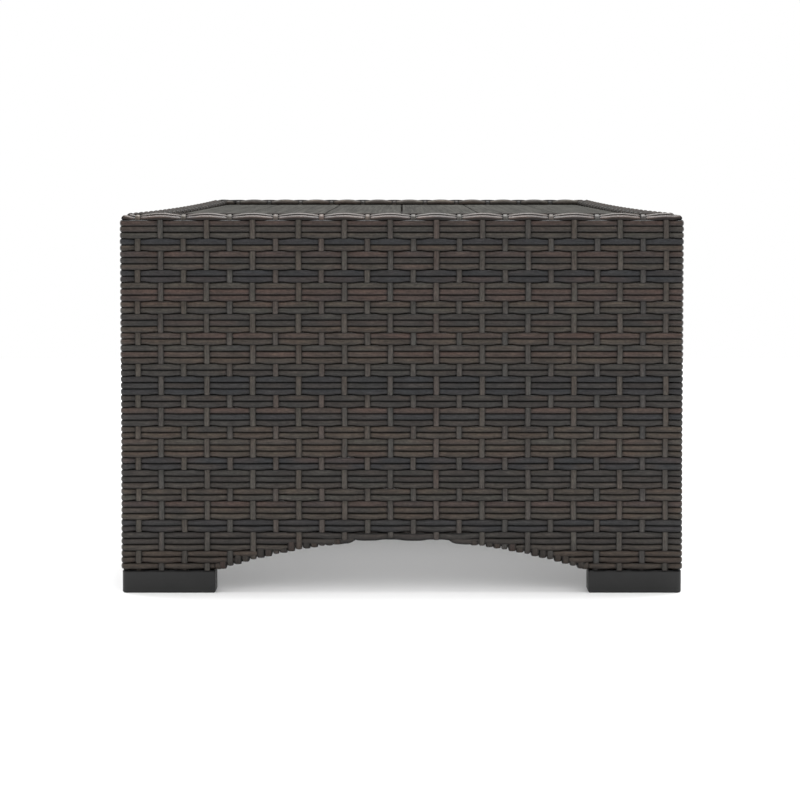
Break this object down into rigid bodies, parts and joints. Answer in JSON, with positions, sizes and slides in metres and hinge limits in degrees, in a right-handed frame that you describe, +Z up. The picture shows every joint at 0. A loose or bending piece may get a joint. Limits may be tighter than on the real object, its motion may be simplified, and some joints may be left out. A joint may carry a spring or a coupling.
{
  "type": "wicker coffee table",
  "caption": "Low rectangular garden coffee table: woven resin wicker skin with arched lower edges over a tube frame, lengthwise board top inside a woven rim, L-shaped corner feet.",
  "frame": {"origin": "on the floor under the middle of the table (bottom centre of the bounding box)", "axes": "+Z up, Y along the long sides, X across the short ends; the front is the short end at -Y"},
  "size_m": [0.615, 1.165, 0.416],
  "materials": {
    "wicker": "woven half-round resin strands in mixed brown, red-brown and charcoal, with a fine lengthwise grain",
    "board": "dark grey plastic wood, brushed lengthwise grain",
    "foot": "near-black moulded plastic, satin",
    "frame_tube": "dark brown powder coat",
    "fastener": "zinc plated"
  },
  "bodies": {
    "root": {"bearer_back": "frame_tube", "bearer_front": "frame_tube", "bearer_mid_back": "frame_tube", "bearer_mid_front": "frame_tube", "board_screws": "fastener", "bottom_rail_back": "frame_tube", "bottom_rail_front": "frame_tube", "bottom_rail_left": "frame_tube", "bottom_rail_right": "frame_tube", "edge_binding_back": "wicker", "edge_binding_front": "wicker", "edge_binding_left": "wicker", "edge_binding_right": "wicker", "foot_back_left": "foot", "foot_back_right": "foot", "foot_bolts": "fastener", "foot_front_left": "foot", "foot_front_right": "foot", "foot_rivet_nuts": "fastener", "post_back_left": "frame_tube", "post_back_right": "frame_tube", "post_front_left": "frame_tube", "post_front_right": "frame_tube", "stud_left": "frame_tube", "stud_right": "frame_tube", "top_board_left_inner": "board", "top_board_left_middle": "board", "top_board_left_outer": "board", "top_board_right_inner": "board", "top_board_right_middle": "board", "top_board_right_outer": "board", "top_rail_back": "frame_tube", "top_rail_front": "frame_tube", "top_rail_left": "frame_tube", "top_rail_right": "frame_tube", "woven_rim_back": "wicker", "woven_rim_front": "wicker", "woven_rim_left": "wicker", "woven_rim_right": "wicker", "woven_skin_back": "wicker", "woven_skin_front": "wicker", "woven_skin_left": "wicker", "woven_skin_right": "wicker"}
  },
  "joints": []
}
